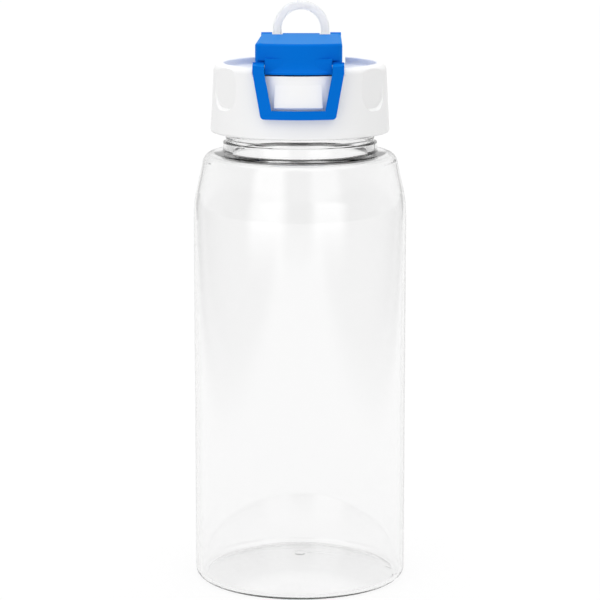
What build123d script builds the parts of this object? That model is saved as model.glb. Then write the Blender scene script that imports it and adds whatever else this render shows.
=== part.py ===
from build123d import *
import math
import os

# Clear wide-mouth sports bottle with a screw lid, a flip cap over the spout,
# a latch bail on the cap's front that snaps under the lid's catch, and a carry loop
# on the cap's hinge pin.
# Millimetres, +Z up, origin at the centre of the base, front towards -Y.

# ---- driving dimensions ----
BODY_R = 43.25
WALL = 1.5
PUNT_H = 7.2
PUNT_CORNER_R = 18.8
PUNT_DOME_R = 100.0
CONTACT_R = 38.4
SHOULDER_START_Z = 155.5
SHOULDER_CORNER_R = 38.7
SHOULDER_Z = 176.7

NECK_R = 30.0
NECK_BORE_R = 27.5
NECK_BEAD_R = 31.2
NECK_BEAD_TOP_Z = 180.5
NECK_RING_HEIGHT = 0.25
NECK_RING_Z = 182.2
NECK_RING_W = 1.2
RIM_Z = 203.0

THREAD_PITCH = 4.2
THREAD_TURNS = 1.25
THREAD_HEIGHT = 1.2
THREAD_START_Z = 189.2

GASKET_Z = 203.05
GASKET_T = 1.5

CORE_DISC_Z = 204.6
CORE_DISC_T = 2.0
CORE_SKIRT_R = 32.9
CORE_BORE_R = 31.7
CORE_BOTTOM_Z = 186.0
CORE_RIB_R = 26.0
CORE_RIB_T = 1.6

LID_BOTTOM_Z = 184.6
LID_BOTTOM_R = 36.2
LID_TOP_R = 34.65
LID_TOP_Z = 212.4
LID_BORE_R = 33.2
RIM_INNER_R = 30.6
DECK_Z = 209.6
DECK_T = 2.2
CHANNEL_W = 36.4

GRIP_ANGLES = (58, 119, 241, 302)
GRIP_W = 15.6
GRIP_BOTTOM_Z = 195.6
GRIP_FLAT_R = 34.15
GRIP_CORNER_R = 6.0
GRIP_TAPER = -35.0

CATCH_HALF_ANGLE = 15.0
CATCH_R = 36.9
CATCH_ROOT_R = 33.7
CATCH_TOP_Z = 208.4
CATCH_CREST_Z = 197.5
CATCH_UNDER_Z = 196.9

SPOUT_Y = -9.0
SPOUT_R = 8.5
SPOUT_BORE_R = 6.5
SPOUT_RIM_Z = 217.6
SPOUT_GAP = 0.3

HINGE_Y = 25.0
HINGE_Z = 216.6
HINGE_PIN_R = 1.25
HINGE_PIN_HALF = 16.2
KNUCKLE_HALF_W = 7.2
KNUCKLE_R = 3.4
RUNNING_GAP = 0.06

CAP_FRONT_HALF_W = 17.15
CAP_REAR_HALF_W = 16.4
CAP_FACE_R = 33.4
CAP_BOTTOM_Z = 210.2
CAP_TOP_Z = 222.1
CAP_WALL = 1.6
CAP_ROOF_T = 1.8
EAR_INNER_X = 12.0
EAR_R = 6.0
SLOT_INNER_X = 7.6
SLOT_FRONT_Y = 19.6
ROOF_TAIL_Y = 28.0
LIP_R = 35.0
LIP_HALF_W = 13.1
LIP_HALF_ANGLE = 22.0
LIP_TOP_Z = 214.8
LIP_EDGE_T = 0.7
NOTCH_TOP_Z = 215.5
NOTCH_BACK = 2.1
NOTCH_W = 10.0

SEAL_R = 9.4
SEAL_Z = 217.8
PLUG_R = 5.9
PLUG_DEPTH = 1.7
COLLAR_T = 1.3
COLLAR_GAP = 0.1

PIVOT_Y = -31.2
PIVOT_Z = 213.2
LATCH_PIN_R = 0.8
LATCH_PIN_HALF = 17.6
BAIL_INNER_R = 36.1
BAIL_OUTER_R = 39.0
BAIL_TOP_Z = 214.4
BAIL_BOTTOM_Z = 193.0
BAIL_BAR_TOP_Z = 196.3
BAIL_TOP_HALF_W = 17.9
BAIL_BOTTOM_HALF_W = 14.7
BAIL_WINDOW_TOP_HALF_W = 13.3
BAIL_WINDOW_BOTTOM_HALF_W = 10.5
BAIL_STRAIGHT_Z = 211.0
BAIL_KNUCKLE_R = 1.7
BAIL_TOP_DROP = 1.4
BAIL_EDGE_R = 0.5

LOOP_X = 9.8
LOOP_SECTION = 3.5
LOOP_ARCH_Z = 223.95
LOOP_EYE_R = 3.0

CUT_MARGIN = 1.0

os.makedirs("parts", exist_ok=True)


def keep(name, part):
    part.label = name
    export_step(part, f"parts/{name}.step")


def section_plane(angle):
    """The plane through the axis, turned by angle from the front towards +X; x is the radius."""
    turn = math.radians(angle)
    return Plane(origin=(0, 0, 0), x_dir=(math.sin(turn), -math.cos(turn), 0),
                 z_dir=(-math.cos(turn), -math.sin(turn), 0))


def thread_ridge(radius, start_z, crest_out):
    """A single-start ridge on a cylinder, its crest outwards (1) or inwards (-1)."""
    root = -0.3 * crest_out
    crest = THREAD_HEIGHT * crest_out
    with BuildPart() as ridge:
        with BuildLine() as path:
            Helix(pitch=THREAD_PITCH, height=THREAD_PITCH * THREAD_TURNS, radius=radius,
                  center=(0, 0, start_z))
        with BuildSketch(Plane(origin=path.line @ 0, x_dir=(1, 0, 0), z_dir=(0, -1, 0))):
            with BuildLine():
                Polyline((root, -0.9), (0, -0.8), (crest, -0.4), (crest, 0.4), (0, 0.8), (root, 0.9),
                         close=True)
            make_face()
        sweep(path=path.line, is_frenet=True)
    return ridge.part


neck_thread = thread_ridge(NECK_R, THREAD_START_Z, 1)
lid_thread = thread_ridge(CORE_BORE_R, THREAD_START_Z - THREAD_PITCH / 2, -1)

# ---- bottle body: walls of even thickness, from the domed base to the rim ----
neck_ring_top_z = NECK_RING_Z + NECK_RING_W
outside = [(0, PUNT_H), (PUNT_CORNER_R, PUNT_H), (CONTACT_R, 0), (BODY_R, 0),
           (BODY_R, SHOULDER_START_Z), (SHOULDER_CORNER_R, SHOULDER_Z - 0.7),
           (NECK_BEAD_R, SHOULDER_Z), (NECK_BEAD_R, NECK_BEAD_TOP_Z), (NECK_R, NECK_BEAD_TOP_Z + 0.4),
           (NECK_R, NECK_RING_Z - 0.3), (NECK_R + NECK_RING_HEIGHT, NECK_RING_Z),
           (NECK_R + NECK_RING_HEIGHT, neck_ring_top_z), (NECK_R, neck_ring_top_z + 0.3), (NECK_R, RIM_Z)]
outside_radii = [PUNT_DOME_R, 2.5, 3.4, 49, 4.6, 0.4, 0.5, 0.4, 0.3, 0.3, 0.3, 0.3]
inside = [(0, PUNT_H + WALL), (PUNT_CORNER_R, PUNT_H + WALL), (CONTACT_R + 0.3, WALL),
          (BODY_R - WALL, WALL), (BODY_R - WALL, SHOULDER_START_Z - 0.3),
          (SHOULDER_CORNER_R - 1.4, SHOULDER_Z - 2.0), (NECK_BORE_R, SHOULDER_Z - 1.5),
          (NECK_BORE_R, RIM_Z)]
inside_radii = [PUNT_DOME_R, 4.0, 2.0, 47, 3.2, 1.4]

with BuildPart() as bottle_body:
    with BuildSketch(Plane.XZ):
        with BuildLine():
            outer_edge = FilletPolyline(*outside, radius=outside_radii)
            inner_edge = FilletPolyline(*inside, radius=inside_radii)
            Line(outer_edge @ 0, inner_edge @ 0)
            Line(outer_edge @ 1, inner_edge @ 1)
        make_face()
    revolve(axis=Axis.Z)
    rim = bottle_body.edges().group_by(Axis.Z)[-1]
    fillet(rim, radius=0.7)
    add(neck_thread)
    with BuildSketch(Plane.XY.offset(PUNT_H - 0.5)):
        Circle(2.2)
    extrude(amount=1.0)
keep("bottle_body", bottle_body.part)

# ---- sealing ring between the bottle's rim and the lid core ----
with BuildPart() as neck_gasket:
    with BuildSketch(Plane.XY.offset(GASKET_Z)):
        Circle(NECK_R + 1.3)
        Circle(NECK_BORE_R + 0.2, mode=Mode.SUBTRACT)
    extrude(amount=GASKET_T)
    fillet(neck_gasket.edges().filter_by(GeomType.CIRCLE), radius=0.4)
keep("neck_gasket", neck_gasket.part)

# ---- threaded lid core with the spout ----
disc_top_z = CORE_DISC_Z + CORE_DISC_T
with BuildPart() as lid_core:
    with BuildSketch(Plane.XZ):
        with BuildLine():
            FilletPolyline((0, CORE_DISC_Z), (CORE_BORE_R, CORE_DISC_Z), (CORE_BORE_R, CORE_BOTTOM_Z),
                           (CORE_SKIRT_R, CORE_BOTTOM_Z), (CORE_SKIRT_R, disc_top_z), (0, disc_top_z),
                           radius=[0.6, 0.4, 0.4, 1.0])
            Line((0, disc_top_z), (0, CORE_DISC_Z))
        make_face()
    revolve(axis=Axis.Z)
    with BuildSketch(Plane.XY.offset(disc_top_z)):
        Circle(CORE_RIB_R)
        Circle(CORE_RIB_R - CORE_RIB_T, mode=Mode.SUBTRACT)
    extrude(amount=DECK_Z - DECK_T - disc_top_z)
    with BuildSketch(Plane.XY.offset(disc_top_z - 0.5)):
        with Locations((0, SPOUT_Y)):
            Circle(SPOUT_R)
    extrude(amount=SPOUT_RIM_Z - disc_top_z + 0.5)
    fillet(lid_core.edges().group_by(Axis.Z)[-1], radius=0.7)
    with BuildSketch(Plane.XY.offset(CORE_DISC_Z - CUT_MARGIN)):
        with Locations((0, SPOUT_Y)):
            Circle(SPOUT_BORE_R)
    extrude(amount=SPOUT_RIM_Z - CORE_DISC_Z + 2 * CUT_MARGIN, mode=Mode.SUBTRACT)
    fillet(lid_core.edges().group_by(Axis.Z)[-1], radius=0.5)
    add(lid_thread)
keep("lid_core", lid_core.part)

# ---- outer lid shell ----
catch_side = section_plane(CATCH_HALF_ANGLE)
with BuildPart() as lid_shell:
    with BuildSketch(Plane.XZ):
        with BuildLine():
            FilletPolyline((0, DECK_Z - DECK_T), (LID_BORE_R, DECK_Z - DECK_T), (LID_BORE_R, LID_BOTTOM_Z),
                           (LID_BOTTOM_R, LID_BOTTOM_Z), (LID_TOP_R, LID_TOP_Z), (RIM_INNER_R, LID_TOP_Z),
                           (RIM_INNER_R, DECK_Z), (0, DECK_Z), radius=[0.8, 0.4, 0.8, 2.8, 0.7, 1.0])
            Line((0, DECK_Z), (0, DECK_Z - DECK_T))
        make_face()
    revolve(axis=Axis.Z)

    # shallow U-shaped flats for the fingers round the wall, open at the top
    for angle in GRIP_ANGLES:
        turn = math.radians(angle)
        outwards = Vector(math.sin(turn), -math.cos(turn), 0)
        sideways = Vector(math.cos(turn), math.sin(turn), 0)
        with BuildSketch(Plane(origin=outwards * GRIP_FLAT_R, x_dir=sideways, z_dir=outwards)):
            with Locations((0, GRIP_BOTTOM_Z + GRIP_W)):
                RectangleRounded(GRIP_W, 2 * GRIP_W, GRIP_CORNER_R)
        extrude(amount=LID_BOTTOM_R - GRIP_FLAT_R, taper=GRIP_TAPER, mode=Mode.SUBTRACT)

    # channel through the rim, front and rear, for the flip cap
    with BuildSketch(Plane.XY.offset(DECK_Z)):
        Rectangle(CHANNEL_W, 3 * RIM_INNER_R)
    extrude(amount=LID_TOP_Z - DECK_Z + CUT_MARGIN, mode=Mode.SUBTRACT)
    with BuildSketch(Plane.XY.offset(DECK_Z - DECK_T - CUT_MARGIN)):
        with Locations((0, SPOUT_Y)):
            Circle(SPOUT_R + SPOUT_GAP)
    extrude(amount=DECK_T + 2 * CUT_MARGIN, mode=Mode.SUBTRACT)

    # ramp on the front wall that the bail's bar snaps under
    with BuildSketch(catch_side):
        with BuildLine():
            Polyline((CATCH_ROOT_R, CATCH_UNDER_Z), (CATCH_R - 0.4, CATCH_UNDER_Z), (CATCH_R, CATCH_CREST_Z),
                     (LID_TOP_R - 0.1, CATCH_TOP_Z), (CATCH_ROOT_R, CATCH_TOP_Z), close=True)
        make_face()
    revolve(axis=Axis.Z, revolution_arc=-2 * CATCH_HALF_ANGLE)

    # knuckle for the hinge pin, on a pedestal on the deck
    with BuildSketch(Plane.YZ.offset(-KNUCKLE_HALF_W)):
        with Locations((HINGE_Y, HINGE_Z)):
            Circle(KNUCKLE_R)
        with BuildLine():
            Polyline((HINGE_Y - KNUCKLE_R - 1.2, DECK_Z - 1), (HINGE_Y + KNUCKLE_R, DECK_Z - 1),
                     (HINGE_Y + KNUCKLE_R, HINGE_Z), (HINGE_Y - KNUCKLE_R, HINGE_Z), close=True)
        make_face()
    extrude(amount=2 * KNUCKLE_HALF_W)
    with BuildSketch(Plane.YZ.offset(-KNUCKLE_HALF_W - CUT_MARGIN)):
        with Locations((HINGE_Y, HINGE_Z)):
            Circle(HINGE_PIN_R)
    extrude(amount=2 * (KNUCKLE_HALF_W + CUT_MARGIN), mode=Mode.SUBTRACT)
keep("lid_shell", lid_shell.part)

# ---- hinge pin: pressed into the lid's knuckle, the cap and the loop turn on it ----
with BuildPart() as hinge_pin:
    with BuildSketch(Plane.YZ.offset(-HINGE_PIN_HALF)):
        with Locations((HINGE_Y, HINGE_Z)):
            Circle(HINGE_PIN_R)
    extrude(amount=2 * HINGE_PIN_HALF)
    chamfer(hinge_pin.edges().filter_by(GeomType.CIRCLE), length=0.2)
keep("hinge_pin", hinge_pin.part)

# ---- flip cap ----
face_y_at_side = -math.sqrt(CAP_FACE_R ** 2 - CAP_FRONT_HALF_W ** 2)
cavity_face_r = CAP_FACE_R - CAP_WALL
cavity_half_w = CAP_FRONT_HALF_W - CAP_WALL
cavity_rear_half_w = CAP_REAR_HALF_W - CAP_WALL
cavity_rear_y = SLOT_FRONT_Y - CAP_WALL
cavity_top_z = CAP_TOP_Z - CAP_ROOF_T
with BuildPart() as flip_cap:
    with BuildSketch(Plane.XY.offset(CAP_BOTTOM_Z)) as plan:
        with BuildLine():
            ThreePointArc((-CAP_FRONT_HALF_W, face_y_at_side), (0, -CAP_FACE_R),
                          (CAP_FRONT_HALF_W, face_y_at_side))
            Line((CAP_FRONT_HALF_W, face_y_at_side), (CAP_REAR_HALF_W, HINGE_Y))
            Line((CAP_REAR_HALF_W, HINGE_Y), (-CAP_REAR_HALF_W, HINGE_Y))
            Line((-CAP_REAR_HALF_W, HINGE_Y), (-CAP_FRONT_HALF_W, face_y_at_side))
        make_face()
        fillet(plan.vertices().group_by(Axis.Y)[0], radius=3.6)
    extrude(amount=CAP_TOP_Z - CAP_BOTTOM_Z)
    roof = flip_cap.faces().sort_by(Axis.Z)[-1]
    fillet(roof.edges().filter_by(lambda edge: edge.center().Y < HINGE_Y - 1), radius=1.1)
    with BuildSketch(Plane.XY.offset(CAP_BOTTOM_Z)) as hollow:
        with BuildLine():
            cavity_y_at_side = -math.sqrt(cavity_face_r ** 2 - cavity_half_w ** 2)
            ThreePointArc((-cavity_half_w, cavity_y_at_side), (0, -cavity_face_r),
                          (cavity_half_w, cavity_y_at_side))
            Line((cavity_half_w, cavity_y_at_side), (cavity_rear_half_w, cavity_rear_y))
            Line((cavity_rear_half_w, cavity_rear_y), (-cavity_rear_half_w, cavity_rear_y))
            Line((-cavity_rear_half_w, cavity_rear_y), (-cavity_half_w, cavity_y_at_side))
        make_face()
        fillet(hollow.vertices(), radius=2.0)
    extrude(amount=cavity_top_z - CAP_BOTTOM_Z, mode=Mode.SUBTRACT)
    # open the rear for the loop and the lid's knuckle, leaving a tail of roof between the slots
    with BuildSketch(Plane.XY.offset(CAP_BOTTOM_Z)):
        with Locations((0, SLOT_FRONT_Y + 10)):
            Rectangle(2 * EAR_INNER_X, 20)
    extrude(amount=CAP_TOP_Z - CAP_BOTTOM_Z, mode=Mode.SUBTRACT)
    with BuildSketch(Plane.YZ.offset(-SLOT_INNER_X)):
        with BuildLine():
            FilletPolyline((SLOT_FRONT_Y - 0.5, CAP_TOP_Z), (ROOF_TAIL_Y, CAP_TOP_Z),
                           (ROOF_TAIL_Y, CAP_TOP_Z - CAP_WALL), (SLOT_FRONT_Y - 0.5, CAP_TOP_Z - CAP_WALL),
                           radius=[1.0, 0.4])
            Line((SLOT_FRONT_Y - 0.5, CAP_TOP_Z - CAP_WALL), (SLOT_FRONT_Y - 0.5, CAP_TOP_Z))
        make_face()
    extrude(amount=2 * SLOT_INNER_X)

    # ears round the hinge pin
    for ear_x in (-CAP_REAR_HALF_W, EAR_INNER_X):
        with BuildSketch(Plane.YZ.offset(ear_x)):
            with Locations((HINGE_Y, HINGE_Z)):
                Circle(EAR_R)
        extrude(amount=CAP_REAR_HALF_W - EAR_INNER_X)
    with BuildSketch(Plane.YZ.offset(-CAP_FRONT_HALF_W - CUT_MARGIN)):
        with Locations((HINGE_Y, HINGE_Z)):
            Circle(HINGE_PIN_R + RUNNING_GAP)
    extrude(amount=2 * (CAP_FRONT_HALF_W + CUT_MARGIN), mode=Mode.SUBTRACT)

    # collar that holds the spout seal
    with BuildSketch(Plane.XY.offset(SEAL_Z + 0.4)):
        with Locations((0, SPOUT_Y)):
            Circle(SEAL_R + COLLAR_T)
            Circle(SEAL_R + COLLAR_GAP, mode=Mode.SUBTRACT)
    extrude(amount=cavity_top_z - SEAL_Z - 0.3)

    # thumb lip that flares out of the bottom of the front face, with a bar behind it for the latch pin
    lip_back_r = cavity_face_r + 0.5
    with BuildSketch(section_plane(LIP_HALF_ANGLE)):
        with BuildLine():
            lip_top = (CAP_FACE_R, LIP_TOP_Z)
            lip_edge = (LIP_R, CAP_BOTTOM_Z + LIP_EDGE_T)
            TangentArc(lip_top, lip_edge, tangent=(0, -1))
            Line(lip_edge, (LIP_R, CAP_BOTTOM_Z))
            Polyline((LIP_R, CAP_BOTTOM_Z), (lip_back_r, CAP_BOTTOM_Z), (lip_back_r, LIP_TOP_Z), lip_top)
        make_face()
    revolve(axis=Axis.Z, revolution_arc=-2 * LIP_HALF_ANGLE)
    with BuildSketch(Plane.YZ.offset(-LIP_HALF_W)):
        with Locations((PIVOT_Y, PIVOT_Z)):
            Rectangle(4 * LATCH_PIN_R, 2 * (PIVOT_Z - CAP_BOTTOM_Z))
    extrude(amount=2 * LIP_HALF_W)

    # notches in the front corners for the bail's ears
    for side in (-1, 1):
        with BuildSketch(Plane.XY.offset(CAP_BOTTOM_Z - CUT_MARGIN)):
            with Locations((side * (LIP_HALF_W + NOTCH_W / 2), PIVOT_Y + NOTCH_BACK - NOTCH_W / 2)):
                Rectangle(NOTCH_W, NOTCH_W)
        extrude(amount=NOTCH_TOP_Z - CAP_BOTTOM_Z + CUT_MARGIN, mode=Mode.SUBTRACT)
    with BuildSketch(Plane.YZ.offset(-CAP_FRONT_HALF_W)):
        with Locations((PIVOT_Y, PIVOT_Z)):
            Circle(LATCH_PIN_R)
    extrude(amount=2 * CAP_FRONT_HALF_W, mode=Mode.SUBTRACT)
keep("flip_cap", flip_cap.part)

# ---- spout seal: a disc held in the cap's collar, with a plug that enters the spout ----
with BuildPart() as spout_seal:
    with BuildSketch(Plane.XY.offset(SEAL_Z)):
        with Locations((0, SPOUT_Y)):
            Circle(SEAL_R)
    extrude(amount=cavity_top_z - SEAL_Z)
    with BuildSketch(Plane.XY.offset(SEAL_Z)):
        with Locations((0, SPOUT_Y)):
            Circle(PLUG_R)
    extrude(amount=-PLUG_DEPTH)
    fillet(spout_seal.edges().group_by(Axis.Z)[0], radius=0.5)
keep("spout_seal", spout_seal.part)

# ---- latch pin: through the cap's bar, the bail turns on its ends ----
with BuildPart() as latch_pin:
    with BuildSketch(Plane.YZ.offset(-LATCH_PIN_HALF)):
        with Locations((PIVOT_Y, PIVOT_Z)):
            Circle(LATCH_PIN_R)
    extrude(amount=2 * LATCH_PIN_HALF)
    chamfer(latch_pin.edges().filter_by(GeomType.CIRCLE), length=0.15)
keep("latch_pin", latch_pin.part)

# ---- latch bail: a curved frame round the catch, with two ears on the latch pin ----
with BuildPart() as latch_bail:
    with BuildSketch(Plane.XZ) as frame_front:
        with BuildLine():
            outer = [(BAIL_BOTTOM_HALF_W, BAIL_BOTTOM_Z), (BAIL_TOP_HALF_W, BAIL_STRAIGHT_Z),
                     (BAIL_TOP_HALF_W, BAIL_TOP_Z)]
            Polyline(*outer, *[(-x, z) for x, z in reversed(outer)], close=True)
        make_face()
        fillet(frame_front.vertices().group_by(Axis.Y)[0], radius=1.6)
        with BuildLine():
            window = [(BAIL_WINDOW_BOTTOM_HALF_W, BAIL_BAR_TOP_Z), (BAIL_WINDOW_TOP_HALF_W, BAIL_STRAIGHT_Z),
                      (BAIL_WINDOW_TOP_HALF_W, BAIL_TOP_Z + 1)]
            Polyline(*window, *[(-x, z) for x, z in reversed(window)], close=True)
        make_face(mode=Mode.SUBTRACT)
    extrude(amount=BODY_R)
    with BuildSketch(Plane.XY.offset(BAIL_BOTTOM_Z - CUT_MARGIN)):
        Circle(BAIL_OUTER_R)
        Circle(BAIL_INNER_R, mode=Mode.SUBTRACT)
    extrude(amount=BAIL_TOP_Z - BAIL_BOTTOM_Z + 2 * CUT_MARGIN, mode=Mode.INTERSECT)
    front = latch_bail.faces().filter_by(GeomType.CYLINDER).sort_by(SortBy.AREA)[-1]
    fillet(front.edges().filter_by(lambda edge: edge.center().Z < BAIL_TOP_Z - 0.1), radius=BAIL_EDGE_R)
    inner_corner_y = -math.sqrt(BAIL_INNER_R ** 2 - BAIL_TOP_HALF_W ** 2)
    outer_corner_y = -math.sqrt(BAIL_OUTER_R ** 2 - BAIL_TOP_HALF_W ** 2)
    for ear_x in (-BAIL_TOP_HALF_W, BAIL_WINDOW_TOP_HALF_W):
        with BuildSketch(Plane.YZ.offset(ear_x)):
            with Locations((PIVOT_Y, PIVOT_Z)):
                Circle(BAIL_KNUCKLE_R)
            with BuildLine():
                Polyline((PIVOT_Y, BAIL_TOP_Z), (outer_corner_y + 0.6, BAIL_TOP_Z),
                         (outer_corner_y + 0.6, PIVOT_Z - 2.4), (inner_corner_y, PIVOT_Z - 2.4),
                         (PIVOT_Y, PIVOT_Z - BAIL_KNUCKLE_R), close=True)
            make_face()
        extrude(amount=BAIL_TOP_HALF_W - BAIL_WINDOW_TOP_HALF_W)
    with BuildSketch(Plane.YZ.offset(-BAIL_TOP_HALF_W - CUT_MARGIN)):
        with BuildLine():
            Polyline((PIVOT_Y, BAIL_TOP_Z), (-BAIL_OUTER_R - CUT_MARGIN, BAIL_TOP_Z - BAIL_TOP_DROP),
                     (-BAIL_OUTER_R - CUT_MARGIN, BAIL_TOP_Z + CUT_MARGIN),
                     (PIVOT_Y, BAIL_TOP_Z + CUT_MARGIN), close=True)
        make_face()
    extrude(amount=2 * (BAIL_TOP_HALF_W + CUT_MARGIN), mode=Mode.SUBTRACT)
    with BuildSketch(Plane.YZ.offset(-BAIL_TOP_HALF_W - CUT_MARGIN)):
        with Locations((PIVOT_Y, PIVOT_Z)):
            Circle(LATCH_PIN_R + RUNNING_GAP)
    extrude(amount=2 * (BAIL_TOP_HALF_W + CUT_MARGIN), mode=Mode.SUBTRACT)
keep("latch_bail", latch_bail.part)

# ---- carry loop: an arch with an eye at each foot, on the hinge pin ----
with BuildPart() as carry_loop:
    with BuildLine(Plane.XZ.offset(-HINGE_Y)) as arch:
        Line((LOOP_X, HINGE_Z), (LOOP_X, LOOP_ARCH_Z))
        ThreePointArc((LOOP_X, LOOP_ARCH_Z), (0, LOOP_ARCH_Z + LOOP_X), (-LOOP_X, LOOP_ARCH_Z))
        Line((-LOOP_X, LOOP_ARCH_Z), (-LOOP_X, HINGE_Z))
    with BuildSketch(Plane(origin=(LOOP_X, HINGE_Y, HINGE_Z), x_dir=(1, 0, 0), z_dir=(0, 0, 1))):
        RectangleRounded(LOOP_SECTION, LOOP_SECTION, 1.1)
    sweep(path=arch.line)
    for eye_x in (-LOOP_X, LOOP_X):
        with BuildSketch(Plane.YZ.offset(eye_x - LOOP_SECTION / 2)):
            with Locations((HINGE_Y, HINGE_Z)):
                Circle(LOOP_EYE_R)
        extrude(amount=LOOP_SECTION)
    with BuildSketch(Plane.YZ.offset(-LOOP_X - LOOP_SECTION)):
        with Locations((HINGE_Y, HINGE_Z)):
            Circle(HINGE_PIN_R + RUNNING_GAP)
    extrude(amount=2 * (LOOP_X + LOOP_SECTION), mode=Mode.SUBTRACT)
keep("carry_loop", carry_loop.part)
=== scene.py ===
import math

import bpy
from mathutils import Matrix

MM = 0.001

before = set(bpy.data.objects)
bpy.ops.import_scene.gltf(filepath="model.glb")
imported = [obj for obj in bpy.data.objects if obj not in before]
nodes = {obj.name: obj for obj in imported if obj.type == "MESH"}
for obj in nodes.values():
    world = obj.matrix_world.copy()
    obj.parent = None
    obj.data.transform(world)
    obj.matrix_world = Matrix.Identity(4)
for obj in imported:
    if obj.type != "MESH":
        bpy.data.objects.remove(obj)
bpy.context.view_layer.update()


# ---- camera ----
CAMERA_DISTANCE = 1010.2 * MM
CAMERA_HEIGHT = 297.0 * MM
CAMERA_AZIMUTH = math.radians(1.1)
CAMERA_PITCH = math.radians(10.21)
CAMERA_LENS = 150.42
CAMERA_SENSOR = 36.0
CAMERA_NEAR = 50 * MM
CAMERA_FAR = 20.0


def make_camera():
    """A long lens a metre away, a little above the bottle and looking slightly down."""
    data = bpy.data.cameras.new("camera")
    data.lens = CAMERA_LENS
    data.sensor_width = CAMERA_SENSOR
    data.clip_start = CAMERA_NEAR
    data.clip_end = CAMERA_FAR
    camera = bpy.data.objects.new("camera", data)
    bpy.context.scene.collection.objects.link(camera)
    camera.location = (CAMERA_DISTANCE * math.sin(CAMERA_AZIMUTH),
                       -CAMERA_DISTANCE * math.cos(CAMERA_AZIMUTH), CAMERA_HEIGHT)
    camera.rotation_euler = (math.pi / 2 - CAMERA_PITCH, 0, CAMERA_AZIMUTH)
    bpy.context.scene.camera = camera


# ---- materials ----
EVEN_RADIUS = (1.0, 1.0, 1.0)


def linear(hex_colour):
    """An sRGB hex colour as linear red, green, blue and alpha."""
    channels = []
    for start in (1, 3, 5):
        value = int(hex_colour[start:start + 2], 16) / 255
        channels.append(value / 12.92 if value <= 0.04045 else ((value + 0.055) / 1.055) ** 2.4)
    return (*channels, 1.0)


def add_node(tree, kind, inputs, **settings):
    """Adds a node with its settings. An input takes a value, a socket, or a node, for its first output."""
    node = tree.nodes.new(kind)
    for name, value in settings.items():
        setattr(node, name, value)
    for name, value in inputs.items():
        if isinstance(value, bpy.types.Node):
            value = value.outputs[0]
        if isinstance(value, bpy.types.NodeSocket):
            tree.links.new(value, node.inputs[name])
        else:
            node.inputs[name].default_value = value
    return node


def new_material(name):
    """An empty node material, its tree, and the object's own coordinates in metres."""
    material = bpy.data.materials.new(name)
    material.use_nodes = True
    tree = material.node_tree
    tree.nodes.clear()
    return material, tree, add_node(tree, "ShaderNodeTexCoord", {}).outputs["Object"]


def moulded_texture(tree, place, grain, depth, strength):
    """A moulded surface's fine texture, with grains of that size, that deep."""
    grains = add_node(tree, "ShaderNodeTexNoise",
                      {"Vector": place, "Scale": 1 / grain, "Detail": 3.0, "Roughness": 0.55})
    return add_node(tree, "ShaderNodeBump", {"Height": grains, "Distance": depth, "Strength": strength})


def finish_material(tree, shader):
    add_node(tree, "ShaderNodeOutputMaterial", {"Surface": shader})


def clear_copolyester():
    """Injection-blown copolyester: clear, with a high gloss, and the faint waviness of a blown wall, which
    bends the highlights a little."""
    material, tree, place = new_material("clear_blown_copolyester")
    shader = add_node(tree, "ShaderNodeBsdfPrincipled", {
        "Normal": moulded_texture(tree, place, grain=40 * MM, depth=0.02 * MM, strength=0.5),
        "Base Color": linear("#FBFBFB"), "Roughness": 0.015, "IOR": 1.54, "Transmission Weight": 1.0})
    finish_material(tree, shader)
    return material


def moulded_polypropylene(name, colour, roughness, gloss, subsurface, bloom=0.0, bloom_colour="#FFFFFF"):
    """Injection-moulded polypropylene: a satin skin that breaks highlights up softly, from the mould's fine
    spark-eroded grain, and slightly waxy where light enters the surface. The bloom lifts its edges."""
    material, tree, place = new_material(name)
    shader = add_node(tree, "ShaderNodeBsdfPrincipled", {
        "Normal": moulded_texture(tree, place, grain=0.35 * MM, depth=0.01 * MM, strength=0.5),
        "Base Color": linear(colour), "Roughness": roughness, "IOR": 1.49, "Specular IOR Level": gloss,
        "Subsurface Weight": subsurface, "Subsurface Radius": EVEN_RADIUS, "Subsurface Scale": 1.2 * MM,
        "Sheen Weight": bloom, "Sheen Roughness": 0.4, "Sheen Tint": linear(bloom_colour)})
    finish_material(tree, shader)
    return material


def natural_polypropylene():
    """Unpigmented moulded polypropylene: milky, so light glows through it, with a soft gloss."""
    material, tree, place = new_material("natural_moulded_polypropylene")
    shader = add_node(tree, "ShaderNodeBsdfPrincipled", {
        "Normal": moulded_texture(tree, place, grain=0.5 * MM, depth=0.01 * MM, strength=0.4),
        "Base Color": linear("#FFFFFF"), "Roughness": 0.32, "IOR": 1.35, "Transmission Weight": 0.75,
        "Subsurface Weight": 1.0, "Subsurface Radius": EVEN_RADIUS, "Subsurface Scale": 4.0 * MM})
    finish_material(tree, shader)
    return material


def moulded_silicone():
    """Moulded silicone: matt and a little milky, with no hard highlight."""
    material, tree, place = new_material("moulded_silicone")
    shader = add_node(tree, "ShaderNodeBsdfPrincipled", {
        "Normal": moulded_texture(tree, place, grain=0.6 * MM, depth=0.01 * MM, strength=0.4),
        "Base Color": linear("#E9EAEA"), "Roughness": 0.55, "IOR": 1.41,
        "Subsurface Weight": 0.4, "Subsurface Scale": 2.0 * MM})
    finish_material(tree, shader)
    return material


def drawn_steel():
    """Drawn stainless steel wire: fine scratches along its length, which lies across the lid, so it has long
    streaky highlights."""
    material, tree, place = new_material("drawn_stainless_steel")
    stretched = add_node(tree, "ShaderNodeMapping", {"Vector": place, "Scale": (0.05, 1.0, 1.0)})
    scratches = add_node(tree, "ShaderNodeTexNoise",
                         {"Vector": stretched, "Scale": 1 / (0.12 * MM), "Detail": 2.0})
    grooves = add_node(tree, "ShaderNodeBump", {"Height": scratches, "Distance": 0.004 * MM, "Strength": 0.5})
    shader = add_node(tree, "ShaderNodeBsdfPrincipled", {
        "Normal": grooves, "Base Color": linear("#C9C9CA"), "Roughness": 0.28, "Metallic": 1.0})
    finish_material(tree, shader)
    return material


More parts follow.
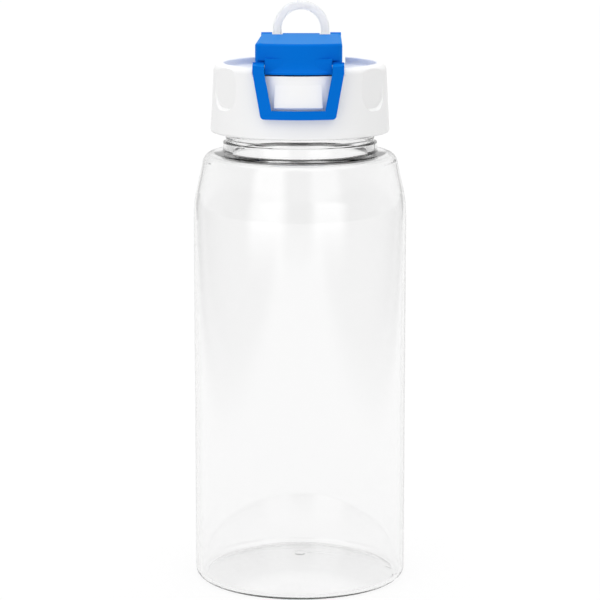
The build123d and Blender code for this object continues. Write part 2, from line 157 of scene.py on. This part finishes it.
white_polypropylene = moulded_polypropylene("white_moulded_polypropylene", "#F3F3F3",
                                            roughness=0.36, gloss=0.5, subsurface=0.12)
blue_polypropylene = moulded_polypropylene("blue_moulded_polypropylene", "#006CD0",
                                           roughness=0.45, gloss=0.03, subsurface=0.04,
                                           bloom=0.35, bloom_colour="#00C8FF")
silicone = moulded_silicone()
steel = drawn_steel()
NODE_MATERIALS = {
    "bottle_body": clear_copolyester(),
    "neck_gasket": silicone,
    "lid_core": white_polypropylene,
    "lid_shell": white_polypropylene,
    "hinge_pin": steel,
    "flip_cap": blue_polypropylene,
    "spout_seal": silicone,
    "latch_pin": steel,
    "latch_bail": blue_polypropylene,
    "carry_loop": natural_polypropylene(),
}
for node_name, material in NODE_MATERIALS.items():
    mesh = nodes[node_name].data
    mesh.materials.clear()
    mesh.materials.append(material)


# ---- studio ----
# The table, in metres: a strip of painted glow, brighter than the rest, of this half width, which flares to
# the back and ends at the front.
TABLE_HALF_W = 6.0
TABLE_LIT_HALF_W = 0.24
TABLE_LIT_FLARE = 0.25
TABLE_LIT_FRONT = 0.75
TABLE_LIT_EDGE = 0.25
# Painted pools of softbox light on the table, as glow: they start this far out and are full from here.
PAINTED_SPILL_NEAR = 0.75
PAINTED_SPILL_FAR = 1.15
# The floor's painted glow: its strength in the bright strip and at the sides.
TABLE_GLOW = 0.9
TABLE_GLOW_SIDE = 0.58
# The room's brightness at the front, the back and the top. A direction's part to the back (-1 to 1) or
# upwards says where one gives way to the next.
ROOM_FRONT = 0.22
ROOM_BACK = 0.9
ROOM_TOP = 1.7
ROOM_FRONT_UNTIL = -0.6
ROOM_BACK_FROM = 0.7
CEILING_FROM = 0.3
CEILING_FULL = 0.9
# Each softbox, in degrees: its middle's angle from straight ahead and its half width, and its power.
SOFTBOXES = ((-36, 19, 1.25), (31, 17, 0.85))
SOFTBOX_EDGE = 7
SOFTBOX_TOP_FROM = 0.55
SOFTBOX_TOP_UNTIL = 0.75
SMOOTH = "SMOOTHSTEP"


def softbox_light(tree, across, along):
    """How bright the softboxes are towards a place or direction, from its parts across and to the back."""
    ahead = add_node(tree, "ShaderNodeMath", {0: along, 1: -1.0}, operation="MULTIPLY")
    angle = add_node(tree, "ShaderNodeMath", {0: across, 1: ahead}, operation="ARCTAN2")
    light = 0.0
    for middle, half_width, power in SOFTBOXES:
        turn = add_node(tree, "ShaderNodeMath", {0: angle, 1: math.radians(middle)}, operation="SUBTRACT")
        offset = add_node(tree, "ShaderNodeMath", {0: turn}, operation="ABSOLUTE")
        box = add_node(tree, "ShaderNodeMapRange", {
            "Value": offset, "From Min": math.radians(half_width - SOFTBOX_EDGE),
            "From Max": math.radians(half_width + SOFTBOX_EDGE), "To Min": power, "To Max": 0.0},
            interpolation_type=SMOOTH)
        light = add_node(tree, "ShaderNodeMath", {0: light, 1: box}, operation="ADD")
    return light


def make_floor():
    """A pale table in painted glow, like lit white acrylic: brightest in a strip that runs from the front to
    the back, and with painted pools of softbox spill light on it, set as glow and not cast by the softboxes."""
    mesh = bpy.data.meshes.new("floor")
    mesh.from_pydata([(-TABLE_HALF_W, -TABLE_HALF_W, 0), (TABLE_HALF_W, -TABLE_HALF_W, 0),
                      (TABLE_HALF_W, TABLE_HALF_W, 0), (-TABLE_HALF_W, TABLE_HALF_W, 0)], [], [(0, 1, 2, 3)])
    floor = bpy.data.objects.new("floor", mesh)
    bpy.context.scene.collection.objects.link(floor)
    material, tree, place = new_material("painted_glow_floor")
    axes = add_node(tree, "ShaderNodeSeparateXYZ", {"Vector": place}).outputs
    behind = add_node(tree, "ShaderNodeMath", {0: axes["Y"], 1: 0.0}, operation="MAXIMUM")
    flare = add_node(tree, "ShaderNodeMath", {0: behind, 1: TABLE_LIT_FLARE}, operation="MULTIPLY")
    aside = add_node(tree, "ShaderNodeMath", {0: axes["X"]}, operation="ABSOLUTE")
    aside = add_node(tree, "ShaderNodeMath", {0: aside, 1: flare}, operation="SUBTRACT")
    across = add_node(tree, "ShaderNodeMapRange", {
        "Value": aside, "From Min": TABLE_LIT_HALF_W, "From Max": TABLE_LIT_HALF_W + TABLE_LIT_EDGE,
        "To Min": 1.0, "To Max": 0.0}, interpolation_type=SMOOTH)
    along = add_node(tree, "ShaderNodeMapRange", {
        "Value": axes["Y"], "From Min": -TABLE_LIT_FRONT - TABLE_LIT_EDGE, "From Max": -TABLE_LIT_FRONT,
        "To Min": 0.0, "To Max": 1.0}, interpolation_type=SMOOTH)
    lit = add_node(tree, "ShaderNodeMath", {0: across, 1: along}, operation="MULTIPLY")
    glow = add_node(tree, "ShaderNodeMapRange", {
        "Value": lit, "From Min": 0.0, "From Max": 1.0, "To Min": TABLE_GLOW_SIDE, "To Max": TABLE_GLOW},
        interpolation_type=SMOOTH)
    # Painted light: pools of softbox spill glow on the table, growing in with distance from the bottle.
    distance = add_node(tree, "ShaderNodeVectorMath", {0: place}, operation="LENGTH").outputs["Value"]
    far = add_node(tree, "ShaderNodeMapRange", {
        "Value": distance, "From Min": PAINTED_SPILL_NEAR, "From Max": PAINTED_SPILL_FAR,
        "To Min": 0.0, "To Max": 1.0}, interpolation_type=SMOOTH)
    painted_spill = add_node(tree, "ShaderNodeMath", {0: softbox_light(tree, axes["X"], axes["Y"]), 1: far},
                     operation="MULTIPLY")
    shader = add_node(tree, "ShaderNodeBsdfPrincipled", {
        "Base Color": linear("#565656"), "Roughness": 0.9, "Specular IOR Level": 0.0,
        "Emission Color": linear("#FFFFFF"),
        "Emission Strength": add_node(tree, "ShaderNodeMath", {0: glow, 1: painted_spill}, operation="ADD")})
    finish_material(tree, shader)
    mesh.materials.append(material)


def make_world():
    """A white studio, brightest overhead, with two tall soft-edged softboxes at the front, left and right."""
    world = bpy.data.worlds.new("studio")
    bpy.context.scene.world = world
    world.use_nodes = True
    tree = world.node_tree
    tree.nodes.clear()
    direction = add_node(tree, "ShaderNodeTexCoord", {}).outputs["Generated"]
    axes = add_node(tree, "ShaderNodeSeparateXYZ", {"Vector": direction}).outputs
    room = add_node(tree, "ShaderNodeMapRange", {
        "Value": axes["Y"], "From Min": ROOM_FRONT_UNTIL, "From Max": ROOM_BACK_FROM,
        "To Min": ROOM_FRONT, "To Max": ROOM_BACK}, interpolation_type=SMOOTH)
    ceiling = add_node(tree, "ShaderNodeMapRange", {
        "Value": axes["Z"], "From Min": CEILING_FROM, "From Max": CEILING_FULL,
        "To Min": 0.0, "To Max": ROOM_TOP}, interpolation_type=SMOOTH)
    around = add_node(tree, "ShaderNodeMath", {0: room, 1: ceiling}, operation="MAXIMUM")
    below_top = add_node(tree, "ShaderNodeMapRange", {
        "Value": axes["Z"], "From Min": SOFTBOX_TOP_FROM, "From Max": SOFTBOX_TOP_UNTIL,
        "To Min": 1.0, "To Max": 0.0}, interpolation_type=SMOOTH)
    softboxes = add_node(tree, "ShaderNodeMath", {0: softbox_light(tree, axes["X"], axes["Y"]), 1: below_top},
                         operation="MULTIPLY")
    background = add_node(tree, "ShaderNodeBackground", {
        "Color": linear("#FFFFFF"),
        "Strength": add_node(tree, "ShaderNodeMath", {0: around, 1: softboxes}, operation="ADD")})
    add_node(tree, "ShaderNodeOutputWorld", {"Surface": background})


make_camera()
make_floor()
make_world()
bpy.context.scene.view_settings.view_transform = "Standard"
